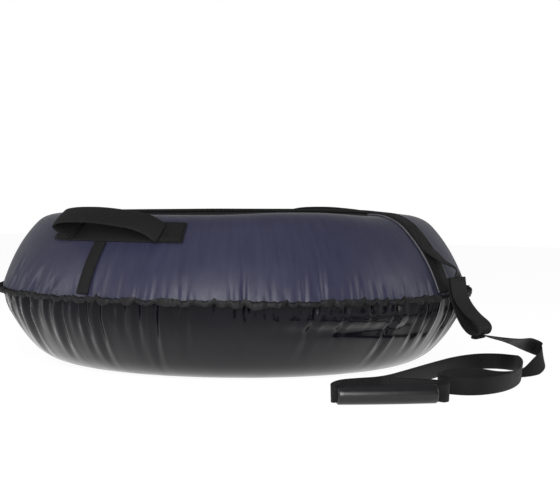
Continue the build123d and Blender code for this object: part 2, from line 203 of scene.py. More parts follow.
def grid(name, along, across):
    """A flat grid with each vertex's share along it (0 to 1) and across it (-0.5 to 0.5)."""
    bpy.ops.mesh.primitive_grid_add(x_subdivisions=along, y_subdivisions=across, size=1)
    piece = added(name)
    at = places(piece)
    return piece, at[:, 0] + 0.5, at[:, 1]


def finish_strip(piece, length, width, thickness, edge=0.4):
    """Give a shaped grid its thickness, rounded edges and a UV in metres."""
    uv = piece.data.uv_layers.active.data
    for loop in uv:
        loop.uv = (loop.uv[0] * length, loop.uv[1] * width)
    apply_modifier(piece, "SOLIDIFY", thickness=thickness, offset=0, use_even_offset=True)
    apply_modifier(piece, "BEVEL", width=thickness * edge, segments=2, limit_method="ANGLE",
                   angle_limit=radians(50))
    point_outwards(piece)
    shade(piece, 50)


def ribbon(name, stations, width, thickness=WEBBING, across=4, cup=0.0, widths=None):
    """Webbing through stations, each a centre, a direction across and a normal."""
    piece, along, side = grid(name, len(stations) - 1, across)
    points = []
    for a, s in zip(along, side):
        i = round(a * (len(stations) - 1))
        centre, cross, normal = stations[i]
        w = width * (widths[i] if widths else 1.0)
        points.append(centre + cross * s * w + normal * cup * (1 - 4 * s * s))
    put(piece, points)
    length = sum((b[0] - a[0]).length for a, b in zip(stations, stations[1:]))
    finish_strip(piece, length, width, thickness)
    return piece


def joined(name, unit, matrices):
    """One mesh of many copies of a small unit, which is then removed."""
    corner = np.array([[*v.co, 1.0] for v in unit.data.vertices])
    faces = [tuple(p.vertices) for p in unit.data.polygons]
    points, sides = [], []
    for k, matrix in enumerate(matrices):
        points.extend((corner @ np.array(matrix).T)[:, :3].tolist())
        sides.extend(tuple(v + k * len(corner) for v in face) for face in faces)
    mesh = bpy.data.meshes.new(name)
    mesh.from_pydata(points, [], sides)
    piece = bpy.data.objects.new(name, mesh)
    bpy.context.scene.collection.objects.link(piece)
    bpy.data.objects.remove(unit)
    shade(piece, 60)
    return piece


def facing(place, forward, up):
    """A matrix at a place with its X forward and its Z up."""
    x = forward.normalized()
    y = up.cross(x).normalized()
    z = x.cross(y)
    turn = Matrix((x, y, z)).transposed().to_4x4()
    return Matrix.Translation(place) @ turn


def thread_unit():
    """One stitch of thread: a short round bar with its two ends drawn in."""
    bpy.ops.mesh.primitive_cylinder_add(vertices=6, radius=0.00042, depth=0.0022,
                                        rotation=(0, pi / 2, 0))
    unit = added("stitch")
    edit(unit)
    bpy.ops.mesh.select_all(action="DESELECT")
    bpy.ops.mesh.select_mode(type="FACE")
    leave_edit()
    for face in unit.data.polygons:
        face.select = abs(face.normal.x) > 0.9
    edit(unit)
    bpy.ops.mesh.extrude_faces_move(TRANSFORM_OT_shrink_fatten={"value": 0.0005})
    bpy.ops.transform.resize(value=(1, 0.45, 0.45))
    bpy.ops.mesh.select_mode(type="VERT")
    leave_edit()
    return unit


def stitched(name, seams, pitch=0.0038):
    """Stitches along seams, each a list of (point, normal)."""
    matrices = []
    for seam in seams:
        travelled, due = 0.0, pitch / 2
        for (a, na), (b, _) in zip(seam, seam[1:]):
            step = (b - a).length
            while due < travelled + step:
                place = a.lerp(b, (due - travelled) / step)
                matrices.append(facing(place, b - a, na))
                due += pitch
            travelled += step
    return joined(name, thread_unit(), matrices)


def eased(share):
    """A share from 0 to 1 that starts and ends gently."""
    return share * share * (3 - 2 * share)


# ---- the ring's section ----
class Side:
    """A bend over the ring's circle, then a flatter flank; points go by slope in degrees."""

    def __init__(self, edge_r, edge_z, top_z, bend, turn):
        self.out = 1 if edge_r > RING_R else -1
        self.up = 1 if top_z > edge_z else -1
        self.bend, self.turn = bend, turn
        self.centre = (RING_R, top_z - self.up * bend)
        start = self.place(self.centre, bend, turn)
        run, fall = abs(edge_r - start[0]), abs(edge_z - start[1])
        lean = degrees(atan2(fall, run)) - turn
        self.flank = hypot(run, fall) / (2 * sin(radians(lean)))
        self.end = turn + 2 * lean
        self.flank_centre = self.place(start, -self.flank, turn)

    def place(self, centre, radius, slope):
        return (centre[0] + self.out * radius * sin(radians(slope)),
                centre[1] + self.up * radius * cos(radians(slope)))

    def point(self, slope, lift=0.0):
        if slope <= self.turn:
            return self.place(self.centre, self.bend + lift, slope)
        return self.place(self.flank_centre, self.flank + lift, slope)

    def normal(self, slope):
        return (self.out * sin(radians(slope)), self.up * cos(radians(slope)))

    def further(self, slope, distance):
        """The slope this far down the cloth from another slope."""
        run = radians(slope - self.turn) * (self.flank if slope > self.turn else self.bend) + distance
        return self.turn + degrees(run / (self.flank if run > 0 else self.bend))


upper = Side(SEAM_R, SEAM_Z + LAY, TUBE_H - CLOTH, CREST_BEND, OUTER_TURN)
lower = Side(SEAM_R, SEAM_Z - LAY, CLOTH, BELLY_BEND, OUTER_TURN)
well = Side(FLOOR_R, FLOOR_Z, TUBE_H - CLOTH, CREST_BEND, WELL_TURN)


def on_side(side, azimuth, slope, lift, across=0.0):
    """The point and normal on a side at an azimuth and slope, moved across by an arc length."""
    r, z = side.point(slope, lift)
    nr, nz = side.normal(slope)
    a = radians(azimuth) + across / r
    return Vector((r * cos(a), r * sin(a), z)), Vector((nr * cos(a), nr * sin(a), nz))


def runs(section):
    """How far along the section each of its points is."""
    lengths = [0.0]
    for a, b in zip(section, section[1:]):
        lengths.append(lengths[-1] + hypot(b[0] - a[0], b[1] - a[1]))
    return lengths


def slopes(first, last, count, ease=1.0):
    """Slopes from first to last, closer together near last when ease is over 1."""
    return [last + (first - last) * (1 - k / (count - 1)) ** ease for k in range(count)]


# ---- gathers of the covers at their seam ----
rng = random.Random(11)
gathers = []  # azimuths at which the gathered edges are drawn together
turn_at = 0.0
while turn_at < 2 * pi - 0.03:
    gathers.append(turn_at)
    turn_at += rng.uniform(0.038, 0.088)
front = radians(VIEW_AZIMUTH - 90)


def fold(at, length, depth, width, lean=0.0):
    """A fold that starts at the seam: azimuth and lean in degrees, the rest in millimetres."""
    return (front + radians(at), length / 1000, depth / 1000, width / 1000, radians(lean))


def fold_field(turns, run, folds):
    """How far the cloth lies in or out at each step round the tube and run from the seam."""
    field = np.zeros((len(run), len(turns)))
    down = np.asarray(run)[:, None]
    for at, length, depth, width, lean in folds:
        gap = (turns[None, :] - at - lean * down / length + pi) % (2 * pi) - pi
        x = np.abs(gap) * SEAM_R / (width * (1 + 0.9 * down / length))
        fade = eased(np.clip(1 - down / length, 0, 1))
        field += depth * fade * (0.4 * np.exp(-(((x - 1.9) / 0.75) ** 2)) - np.exp(-(x**1.5)))
    return field


def folded(piece, side, slope_list, field, steps):
    """Move each ring of a turned cover in or out along the section's normal."""
    points = places(piece).reshape(-1, steps, 3)
    for k, slope in enumerate(slope_list):
        turns = np.arctan2(points[k, :, 1], points[k, :, 0])
        nr, nz = side.normal(slope)
        points[k, :, 0] += nr * field[k] * np.cos(turns)
        points[k, :, 1] += nr * field[k] * np.sin(turns)
        points[k, :, 2] += nz * field[k]
    put(piece, points.reshape(-1, 3))


def ring_turns(piece, steps):
    first = places(piece)[:steps]
    return np.arctan2(first[:, 1], first[:, 0])


# Upper cover: smooth over the crest, with fine puckers that rise from the seam.
upper_slopes = slopes(-WELL_TOP, upper.end, 54, 1.35)
upper_section = [upper.point(s, 0.0) for s in upper_slopes]
upper_cover = turned("upper_cover_cloth", upper_section, ROUND_STEPS)
upper_run = runs(upper_section)
puckers = [(g, rng.uniform(0.018, 0.055), rng.uniform(0.0006, 0.0015), rng.uniform(0.0028, 0.0045),
            rng.uniform(-0.02, 0.02)) for g in gathers]
puckers += [(rng.uniform(0, 2 * pi), rng.uniform(0.03, 0.09), rng.uniform(0.0004, 0.001),
             rng.uniform(0.002, 0.0035), rng.uniform(-0.02, 0.02)) for _ in range(110)]
puckers += [
    fold(1.5, 120, 3.0, 3.0, 0.6), fold(-0.8, 60, 2.4, 3.5, -0.6), fold(-10.6, 55, 2.7, 3.4),
    fold(-12.4, 50, 2.1, 3.0), fold(-17.6, 60, 2.0, 2.8), fold(7.6, 60, 1.5, 2.8),
    fold(14.6, 90, 2.7, 2.8, 1.0), fold(19.0, 105, 3.3, 3.2, 1.0), fold(27.5, 62, 2.5, 2.8, 1.0),
    fold(41.0, 45, 1.8, 3.0, 1.0), fold(-22.0, 52, 2.0, 2.8), fold(-26.5, 60, 1.8, 2.8),
    fold(-54.0, 75, 7.5, 7.0, 4.0), fold(-60.0, 70, 5.2, 6.0, 2.0), fold(-66.0, 80, 4.5, 5.0),
    fold(-47.0, 45, 4.5, 6.0, 2.0), fold(50.0, 50, 2.4, 3.2), fold(34.0, 40, 1.8, 3.0),
]
from_seam = [upper_run[-1] - s for s in upper_run]
field = fold_field(ring_turns(upper_cover, ROUND_STEPS), from_seam, puckers)
field = np.minimum(field, 0.0006) - 0.0002
# The shoulder stands fuller at two places: azimuth and half width in degrees, height.
cover_turns = np.degrees(ring_turns(upper_cover, ROUND_STEPS))[None, :]
shoulder = np.exp(-(((np.array(upper_slopes)[:, None] - 44.0) / 24.0) ** 2))
for middle, half, height in ((-160.0, 31.0, 0.013), (37.0, 20.0, 0.005)):
    away = (cover_turns - middle + 180) % 360 - 180
    field += height * shoulder * np.exp(-np.abs(away / half) ** 2.6)
folded(upper_cover, upper, upper_slopes, field, ROUND_STEPS)
round_uv(upper_cover, ROUND_STEPS, upper_run)
apply_modifier(upper_cover, "SOLIDIFY", thickness=0.001, offset=-1)
shade(upper_cover)

# Lower cover: long radial folds from the seam, a sag below it and a flat underside.
lower_slopes = slopes(0.0, lower.end, 50, 1.3)[::-1]
lower_section = [lower.point(s, 0.0) for s in lower_slopes]
flat_rings = [0.29, 0.25, 0.20, 0.14, 0.08]
lower_cover = turned("lower_cover_cloth", lower_section + [(r, CLOTH) for r in flat_rings], ROUND_STEPS)
lower_run = runs(lower_section)
folds = [(g, rng.uniform(0.02, 0.06), rng.uniform(0.0015, 0.0035), rng.uniform(0.003, 0.005),
          rng.uniform(-0.02, 0.02)) for g in gathers]
folds += [(g + rng.uniform(-0.01, 0.01), rng.uniform(0.08, 0.17), rng.uniform(0.002, 0.005),
           rng.uniform(0.003, 0.0055), rng.uniform(-0.08, 0.08)) for g in gathers[::3]
          if abs((g - front + pi) % (2 * pi) - pi) > radians(68)]
folds += [
    fold(-66, 110, 5.4, 4.0, -6), fold(-60.5, 100, 5.4, 4.5, -5), fold(-55, 165, 10.8, 8.0, -9),
    fold(-50.5, 90, 3.4, 4.0, -4), fold(-46.5, 110, 4.7, 4.2, -4), fold(-42, 155, 8.1, 5.5, -6),
    fold(-37, 95, 4.1, 4.0, -3), fold(-34.6, 140, 5.4, 4.0, -3), fold(-31, 165, 6.1, 4.5, -3),
    fold(-25, 90, 4.1, 4.0, -1), fold(-21.2, 130, 4.7, 4.0, -2), fold(-17.2, 170, 6.1, 4.2, -2.5),
    fold(-13, 45, 5.4, 6.0), fold(-10.2, 120, 4.7, 4.5, -2), fold(-3.5, 35, 4.7, 6.0),
    fold(0.2, 110, 4.7, 4.2, 0.5), fold(2.2, 60, 5.4, 4.0), fold(8.8, 65, 5.4, 5.0, 1.0),
    fold(14.0, 45, 4.7, 4.0), fold(17.3, 125, 6.1, 5.0, -2), fold(24.5, 90, 5.4, 4.0, -1.5),
    fold(31, 60, 4.1, 4.0), fold(38.6, 150, 8.1, 5.5, -3), fold(42.5, 70, 4.1, 4.0),
    fold(46.4, 125, 7.4, 5.0, 1.0), fold(52, 120, 6.8, 5.0, 0.5), fold(60, 135, 8.8, 6.0, 3.0),
    fold(64, 85, 5.4, 5.0, 2.0), fold(70, 130, 6.8, 6.0, 2.0),
]
lower_turns = ring_turns(lower_cover, ROUND_STEPS)
field = fold_field(lower_turns, lower_run, folds)
down = np.asarray(lower_run)[:, None]
gap = (lower_turns[None, :] - front - radians(27) + pi) % (2 * pi) - pi
sag = np.exp(-((gap / radians(17)) ** 4))
slack_roll = np.exp(-(((down - 0.026) / 0.014) ** 2))
hollow = np.exp(-(((down - 0.052) / 0.010) ** 2))
field += 0.0045 * sag * (slack_roll - 0.9 * hollow)
field += 0.002 * np.exp(-(((down - 0.03) / 0.022) ** 2))
field = np.minimum(field, 0.006)
height = np.array([z for _, z in lower_section])[:, None]
field *= np.clip(height / 0.02, 0, 1)
folded(lower_cover, lower, lower_slopes, field, ROUND_STEPS)
round_uv(lower_cover, ROUND_STEPS, lower_run + [lower_run[-1] + RING_R - r for r in flat_rings])
close_ring(lower_cover, (len(lower_section) + len(flat_rings) - 1) * ROUND_STEPS, ROUND_STEPS)
point_outwards(lower_cover)
apply_modifier(lower_cover, "SOLIDIFY", thickness=0.001, offset=-1)
shade(lower_cover)

# Seam binding: a tape folded over both gathered edges, drawn up and in at each gather.
tape_section = [(0.4405, 0.1345), (0.4440, 0.1338), (0.4480, 0.1338), (0.4512, 0.1344), (0.4526, 0.1360),
                (0.4512, 0.1376), (0.4480, 0.1382), (0.4440, 0.1382), (0.4405, 0.1375)]
seam_binding = turned("seam_binding_tape", tape_section, BINDING_STEPS, closed=True)
points = places(seam_binding)
turns = np.arctan2(points[:, 1], points[:, 0]) % (2 * pi)
stops = np.array(gathers + [2 * pi])
between = np.clip(np.searchsorted(stops, turns, side="right") - 1, 0, len(stops) - 2)
share = (turns - stops[between]) / (stops[between + 1] - stops[between])
peaks = np.array([rng.uniform(-0.002, 0.0065) for _ in gathers])
peaks = np.append(peaks, peaks[0])
sags = np.array([rng.uniform(-0.004, 0.001) for _ in gathers])
fullness = np.array([rng.uniform(0.5, 1.5) for _ in gathers])
peak = peaks[between] * (1 - share) + peaks[between + 1] * share
scallop = np.abs(2 * share - 1) ** 2.2
rise = peak * scallop + sags[between] * (1 - scallop)
reach = np.hypot(points[:, 0], points[:, 1]) - SEAM_R
out = np.clip(reach / 0.0126, 0, 1)
wrinkle = 0.0007 * np.sin(173 * turns + 2 * np.sin(31 * turns)) + 0.0006 * np.sin(289 * turns + 1.7)
thicker = 1.0 + 2.2 * out * fullness[between] * (1 - 0.3 * scallop)
height = (rise + wrinkle) * out + (points[:, 2] - SEAM_Z) * thicker
radius = SEAM_R + reach * (0.95 - 0.22 * scallop) - 0.0005 + 0.6 * wrinkle * out
points = np.stack([radius * np.cos(turns), radius * np.sin(turns), SEAM_Z + height], axis=1)
put(seam_binding, points)
shade(seam_binding, 60)

# Seat well, its floor and the tape over its top seam.
well_slopes = slopes(WELL_TOP, well.end, 40, 1.0)
well_section = [well.point(s, 0.0) for s in well_slopes]
seat_well = turned("seat_well_lining", well_section, WELL_STEPS)
well_run = runs(well_section)
tucks = [(rng.uniform(0, 2 * pi), rng.uniform(0.05, 0.13), rng.uniform(0.001, 0.003),
          rng.uniform(0.004, 0.008), rng.uniform(-0.05, 0.05)) for _ in range(70)]
field = fold_field(ring_turns(seat_well, WELL_STEPS), [well_run[-1] - s for s in well_run], tucks)
folded(seat_well, well, well_slopes, np.minimum(field, 0.0005) - 0.0002, WELL_STEPS)
round_uv(seat_well, WELL_STEPS, well_run)
apply_modifier(seat_well, "SOLIDIFY", thickness=0.001, offset=-1)
shade(seat_well)

# The floor is cloth stretched across the foot of the well, a little slack between the seams.
floor_rings = [0.1895, 0.186, 0.176, 0.164, 0.150, 0.135, 0.118, 0.1, 0.08, 0.06, 0.04, 0.02]
floor_level = FLOOR_Z - LAY - 0.0006
seat_floor = turned("seat_floor_cloth", [(r, floor_level) for r in floor_rings], FLOOR_STEPS)
points = places(seat_floor)
radius = np.hypot(points[:, 0], points[:, 1])
turns = np.arctan2(points[:, 1], points[:, 0])
slack = np.clip((0.130 - radius) / 0.06, 0, 1)
points[:, 2] -= 0.0035 * slack * (1 + 0.25 * np.sin(3 * turns + 0.7))
puff = np.clip(1 - np.abs(radius - 0.183) / 0.008, 0, 1)
points[:, 2] -= 0.0012 * puff * (1 + np.sin(46 * turns))
put(seat_floor, points)
close_ring(seat_floor, (len(floor_rings) - 1) * FLOOR_STEPS, FLOOR_STEPS)
point_outwards(seat_floor)
round_uv(seat_floor, FLOOR_STEPS, [FLOOR_R - r for r in floor_rings])
apply_modifier(seat_floor, "SOLIDIFY", thickness=0.0012, offset=0)
shade(seat_floor)

tape_slopes = slopes(WELL_TOP - 6.0, WELL_TOP + 6.0, 9)
seam_face = [well.point(s, CLOTH + LAY) for s in tape_slopes]
seam_back = [well.point(s, CLOTH + LAY + 0.001) for s in reversed(tape_slopes)]
well_tape = turned("well_seam_tape_strip", seam_face + seam_back, 480, closed=True)
shade(well_tape, 50)


# ---- inner tube, seen only where the covers are opened ----
def ring_section(depth):
    foot_r = well.point(well.end, -depth)[0]
    foot_z = lower.point(0, -depth)[1]
    foot = 0.070
    section = [upper.point(s, -depth) for s in slopes(0.0, upper.end - 12, 12)]
    section += [lower.point(s, -depth) for s in slopes(lower.end - 12, 0.0, 12)]
    corner = (foot_r + foot, foot_z + foot)
    section += [(corner[0] - foot * sin(radians(a)), corner[1] - foot * cos(radians(a)))
                for a in range(0, 91, 10)]
    section += [well.point(s, -depth) for s in slopes(well.end, 6.0, 12)]
    return section


bladder = turned("air_bladder_rubber", ring_section(0.010), 180, closed=True)
shade(bladder)

# ---- handles: the near one, then its mirrored twin ----
base_lift = CLOTH + LAY + WEBBING / 2
NEEDLE = 0.0003  # how far the thread stands off the webbing


def cover_patch(name, azimuth, angle, width, lift, ripple=0.0, thickness=WEBBING):
    """Webbing that lies along the cover under a handle, centred on an azimuth."""
    piece, along, side = grid(name, max(8, int(angle * 2.5)), 10)
    points = []
    for a, s in zip(along, side):
        turn = azimuth + (a - 0.5) * angle
        bulge = ripple * sin(a * 23.0 + s * 2.0) * (1 - abs(2 * s) ** 3)
        points.append(on_side(upper, turn, upper.further(HANDLE_SLOPE, -s * width), lift + bulge)[0])
    put(piece, points)
    finish_strip(piece, radians(angle) * upper.point(HANDLE_SLOPE)[0], width, thickness)
    return piece


def seam_on_cover(first, last, lift, count=40):
    """A seam between two points under a handle, each an azimuth and a distance down the cloth."""
    seam = []
    for k in range(count + 1):
        t = k / count
        azimuth = first[0] + (last[0] - first[0]) * t
        slope = upper.further(HANDLE_SLOPE, first[1] + (last[1] - first[1]) * t)
        seam.append(on_side(upper, azimuth, slope, lift))
    return seam


def box_seams(azimuth, angle, width, lift):
    """A box of stitches with a cross in it."""
    a, b = azimuth - angle / 2, azimuth + angle / 2
    low, high = -width / 2, width / 2
    corners = [(a, low), (b, low), (b, high), (a, high), (a, low)]
    seams = [seam_on_cover(p, q, lift) for p, q in zip(corners, corners[1:])]
    return seams + [seam_on_cover((a, low), (b, high), lift), seam_on_cover((a, high), (b, low), lift)]


near = -90.0
handle_base = cover_patch("near_handle_base_webbing", near, 2 * HANDLE_HALF, HANDLE_W, base_lift, 0.0002)
patch_lift = base_lift + WEBBING + LAY
patch_w = HANDLE_W - 0.003
patch_mid = HANDLE_HALF - PATCH_ANGLE / 2 - 0.5
handle_patches, other_patch = [
    cover_patch(name, near + away, PATCH_ANGLE, patch_w, patch_lift, 0.0002)
    for name, away in (("near_handle_patches_webbing", -patch_mid), ("near_handle_patch_other", patch_mid))]
join(handle_patches, other_patch)

base_top = base_lift + WEBBING / 2 + NEEDLE
patch_top = patch_lift + WEBBING / 2 + NEEDLE
seams = []
seam_half = HANDLE_HALF - PATCH_ANGLE - 0.7
for edge in (-1, 1):
    seam_low = edge * (HANDLE_W / 2 - 0.003)
    seams.append(seam_on_cover((near - seam_half, seam_low), (near + seam_half, seam_low), base_top))
    seams += box_seams(near + edge * patch_mid, PATCH_ANGLE * 0.82, patch_w - 0.007, patch_top)
handle_thread = stitched("near_handle_thread", seams)

handle_r, handle_z = upper.point(HANDLE_SLOPE)
strap_up = Vector((0, -sin(radians(HANDLE_SLOPE)), cos(radians(HANDLE_SLOPE))))
strap_across = Vector((0, -cos(radians(HANDLE_SLOPE)), -sin(radians(HANDLE_SLOPE))))
strap_middle = Vector((0, -handle_r, handle_z))
arch = [(0.1000, 0.0000), (0.0960, 0.0060), (0.0840, 0.0210), (0.0660, 0.0300), (0.0360, 0.0355),
        (-0.0050, 0.0418), (-0.0400, 0.0425), (-0.0680, 0.0412), (-0.0900, 0.0372), (-0.1020, 0.0300),
        (-0.0990, 0.0200), (-0.0910, 0.0105), (-0.0820, 0.0025)]
arch_line = smooth_line([strap_middle + Vector((x, 0, 0)) + strap_up * y for x, y in arch], 8)


def strap_lean(t):
    """The raised strap's lower edge stands further off the cover than its upper edge."""
    lean = radians(10.0) * sin(pi * min(1.0, max(0.0, t))) ** 0.5
    return strap_across * cos(lean) + strap_up * sin(lean)


def ribbon_stations(line, across_at):
    """Stations down a line, with the direction across given for each share of it."""
    stations = []
    for k, centre in enumerate(line):
        ahead = (line[min(k + 1, len(line) - 1)] - line[max(k - 1, 0)]).normalized()
        across = across_at(k / (len(line) - 1))
        across = (across - ahead * across.dot(ahead)).normalized()
        stations.append((centre, across, ahead.cross(across)))
    return stations


handle_strap = ribbon("near_handle_strap_webbing", ribbon_stations(arch_line, strap_lean),
                      GRIP_STRAP_W, WEBBING, 6, 0.0016)

side_top = upper.further(HANDLE_SLOPE, HANDLE_W / 2 + 0.001)


def down_cover(name, azimuth, first, last, lift, width, thickness=WEBBING, rows=60, across=6):
    """Webbing that runs down the cover at one azimuth."""
    piece, along, side = grid(name, rows, across)
    points = []
    for a, s in zip(along, side):
        points.append(on_side(upper, azimuth, first + (last - first) * a, lift, s * width)[0])
    put(piece, points)
    line = [upper.point(first + (last - first) * k / rows, lift) for k in range(rows + 1)]
    finish_strip(piece, runs(line)[-1], width, thickness)
    return piece


def seam_down(azimuth, first, last, lift, across, count=60):
    seam = []
    for k in range(count + 1):
        seam.append(on_side(upper, azimuth, first + (last - first) * k / count, lift, across))
    return seam


side_at = near - SIDE_STRAP_SHIFT
strap_foot = upper.end - 1.5  # the slope at which straps reach the seam
side_strap = down_cover("near_side_strap_webbing", side_at, side_top, strap_foot, base_lift, SIDE_STRAP_W)
side_seams = [seam_down(side_at, side_top + 0.5, upper.end - 2.5, base_top, e * (SIDE_STRAP_W / 2 - 0.003))
              for e in (-1, 1)]
side_thread = stitched("near_side_strap_thread", side_seams)

near_pieces = [handle_base, handle_patches, handle_thread, handle_strap, side_strap, side_thread]


def twin(piece, name):
    """A copy mirrored to the far side of the tube."""
    deselect()
    copy = piece.copy()
    copy.data = piece.data.copy()
    bpy.context.scene.collection.objects.link(copy)
    copy.name = copy.data.name = name
    points = places(copy)
    points[:, 1] *= -1
    put(copy, points)
    edit(copy)
    bpy.ops.mesh.select_all(action="SELECT")
    bpy.ops.mesh.flip_normals()
    leave_edit()
    return copy


far_pieces = [twin(piece, piece.name.replace("near", "far")) for piece in near_pieces]

# The far raised strap lies lower, pressed towards the cover.
far_strap = far_pieces[near_pieces.index(handle_strap)]
far_up = Vector((0, sin(radians(HANDLE_SLOPE)), cos(radians(HANDLE_SLOPE))))
points = []
for place in places(far_strap):
    place = Vector(place)
    lift = (place - Vector((0, handle_r, handle_z))).dot(far_up)
    points.append(place - far_up * max(0.0, lift - 0.008) * 0.30)
put(far_strap, points)

# ---- the ring swells between its straps ----
SWELLS = [(-36.0, 20.0, 0.0062), (18.0, 20.0, 0.0030), (72.0, 30.0, 0.0090), (122.0, 32.0, 0.0085),
          (172.0, 26.0, 0.0050)]  # azimuth and half width in degrees, height
SWELL_FROM = 0.185  # the height at which the swelling starts


def swell(piece):
    """Lift the parts of a piece near the crest by the ring's swelling at their azimuth."""
    points = places(piece)
    azimuth = np.degrees(np.arctan2(points[:, 1], points[:, 0]))
    near_top = eased(np.clip((points[:, 2] - SWELL_FROM) / (TUBE_H - SWELL_FROM), 0, 1))
    for middle, half, height in SWELLS:
        gap = (azimuth - middle + 180) % 360 - 180
        points[:, 2] += height * near_top * np.exp(-np.abs(gap / half) ** 2.6)
    put(piece, points)


for piece in [upper_cover, seat_well, well_tape, *near_pieces, *far_pieces]:
    swell(piece)

# ---- tow band, piping, tow strap ----
tow_band = down_cover("tow_band_webbing", 0.0, BAND_TOP, strap_foot, base_lift, BAND_W, rows=90, across=8)
strap_lift = base_lift + WEBBING + LAY
tow_strap = down_cover("tow_strap_webbing", 0.0, BAND_TOP + 2.0, LIFT_SLOPE, strap_lift, 0.046,
                       rows=80, across=8)
strap_top_lift = strap_lift + WEBBING / 2 + NEEDLE
seam_top = BAND_TOP + 2.6
tow_seams = [seam_down(0.0, seam_top, LIFT_SLOPE - short, strap_top_lift, e * out, 100)
             for short, out in ((1.0, 0.019), (14.0, 0.0165)) for e in (-1, 1)]
for slope in (BAND_TOP + 3.0, 12.0, 14.0, LIFT_SLOPE - 1.5, LIFT_SLOPE - 14.0):
    tow_seams.append([on_side(upper, 0.0, slope, strap_top_lift, 0.019 * (k / 10 - 1)) for k in range(21)])
for e in (-1, 1):
    tow_seams.append([on_side(upper, 0.0, LIFT_SLOPE - 1.5 - 12.5 * k / 30, strap_top_lift,
                              e * 0.019 * (k / 15 - 1)) for k in range(31)])
tow_thread = stitched("tow_strap_thread", tow_seams)


PIPING_R, PIPING_SIDES, PIPING_STEPS = 0.0018, 10, 90


def piping(name, across):
    """A round cord covered in cloth, sewn along an edge of the tow band."""
    line = [on_side(upper, 0.0, BAND_TOP + (strap_foot - BAND_TOP) * k / PIPING_STEPS,
                    CLOTH + LAY + PIPING_R, across)[0] for k in range(PIPING_STEPS + 1)]
    bpy.ops.mesh.primitive_circle_add(vertices=PIPING_SIDES, radius=PIPING_R)
    piece = added(name)
    edit(piece)
    bpy.ops.mesh.select_all(action="SELECT")
    for _ in range(PIPING_STEPS):
        bpy.ops.mesh.extrude_edges_move(TRANSFORM_OT_translate={"value": (0, 0, 0.003)})
    leave_edit()
    points = places(piece).reshape(-1, PIPING_SIDES, 3)
    for k, ring in enumerate(points):
        ahead = (line[min(k + 1, PIPING_STEPS)] - line[max(k - 1, 0)]).normalized()
        cross = Vector((0, 1, 0))
        lift = ahead.cross(cross).normalized()
        for j in range(PIPING_SIDES):
            x, y, _ = ring[j]
            points[k, j] = line[k] + cross * x + lift * y
    put(piece, points.reshape(-1, 3))
    close_ring(piece, 0, PIPING_SIDES)
    close_ring(piece, PIPING_STEPS * PIPING_SIDES, PIPING_SIDES)
    point_outwards(piece)
    shade(piece, 60)
    return piece


pipe_out = BAND_W / 2 + 0.0021
band_piping = piping("tow_band_piping_cord", -pipe_out)
other_piping = piping("tow_band_piping_other", pipe_out)
join(band_piping, other_piping)

# ---- tail, tow loop and tab, which swing with the leash ----
tail_route = [(0.4082, 0, 0.2160), (0.4200, 0, 0.2075), (0.4340, 0, 0.1975), (0.4500, 0, 0.1905),
              (0.4590, 0, 0.1850), (0.4618, 0, 0.1780), (0.4620, 0, 0.1715)]
tail_line = smooth_line([Vector(p) for p in tail_route], 6)
tail_way = [(0.0, 90.0), (0.35, 100.0), (0.75, 118.0), (1.0, 96.0)]


def turn_along(t, marks):
    """A direction across, in degrees about Z, between the marks of a strap."""
    for (t0, a0), (t1, a1) in zip(marks, marks[1:]):
        if t <= t1:
            return a0 + (a1 - a0) * eased((t - t0) / (t1 - t0))
    return marks[-1][1]


def across_by(marks):
    return lambda t: Vector((cos(radians(turn_along(t, marks))), sin(radians(turn_along(t, marks))), 0))


tail_widths = [1.0 - 0.38 * min(1.0, k / (len(tail_line) - 1) * 1.6) for k in range(len(tail_line))]
tow_tail = ribbon("tow_strap_tail_webbing", ribbon_stations(tail_line, across_by(tail_way)), 0.045,
                  WEBBING, 6, 0.0008, tail_widths)

loop_route = [(0.4625, 0.1710), (0.4640, 0.1580), (0.4690, 0.1340), (0.4900, 0.1080), (0.5170, 0.0900),
              (0.5130, 0.0730), (0.4960, 0.0745), (0.4780, 0.0960), (0.4650, 0.1320), (0.4595, 0.1550),
              (0.4585, 0.1710)]
loop_line = smooth_line([Vector((x, 0, z)) for x, z in loop_route], 8)
loop_way = [(0.0, 82.0), (0.5, 86.0), (1.0, 82.0)]
loop_stations = ribbon_stations(loop_line, across_by(loop_way))
tow_loop = ribbon("tow_loop_webbing", loop_stations, BAND_W, WEBBING, 6, 0.0)
loop_across = Vector((cos(radians(82)), sin(radians(82)), 0))


def loop_seam(height, depth, count=20):
    """Stitches across the loop's outer face at a height."""
    seam = []
    for k in range(count + 1):
        place = Vector((depth, 0, height)) + loop_across * (BAND_W - 0.008) * (k / count - 0.5)
        seam.append((place, Vector((1, 0, 0.15)).normalized()))
    return seam


loop_thread = stitched("tow_loop_thread", [loop_seam(0.1670, 0.4642), loop_seam(0.1560, 0.4655)])

TAB_X, TAB_Z, TAB_LEN = 0.5025, 0.0692, 0.015
bpy.ops.mesh.primitive_cube_add(size=1, location=(TAB_X, 0, TAB_Z), scale=(TAB_LEN, LEASH_W, 0.0066))
leash_tab = added("leash_tab_webbing")
edit(leash_tab)
bpy.ops.mesh.select_all(action="SELECT")
bpy.ops.mesh.subdivide(number_cuts=3)
leave_edit()
points = places(leash_tab)
from_middle = (points[:, 0] - TAB_X) / (TAB_LEN / 2)
points[:, 2] -= 0.0015 * from_middle**2 * np.sign(points[:, 2] - TAB_Z)
put(leash_tab, points)
apply_modifier(leash_tab, "BEVEL", width=0.0011, segments=3, limit_method="ANGLE", angle_limit=radians(40))
shade(leash_tab, 40)

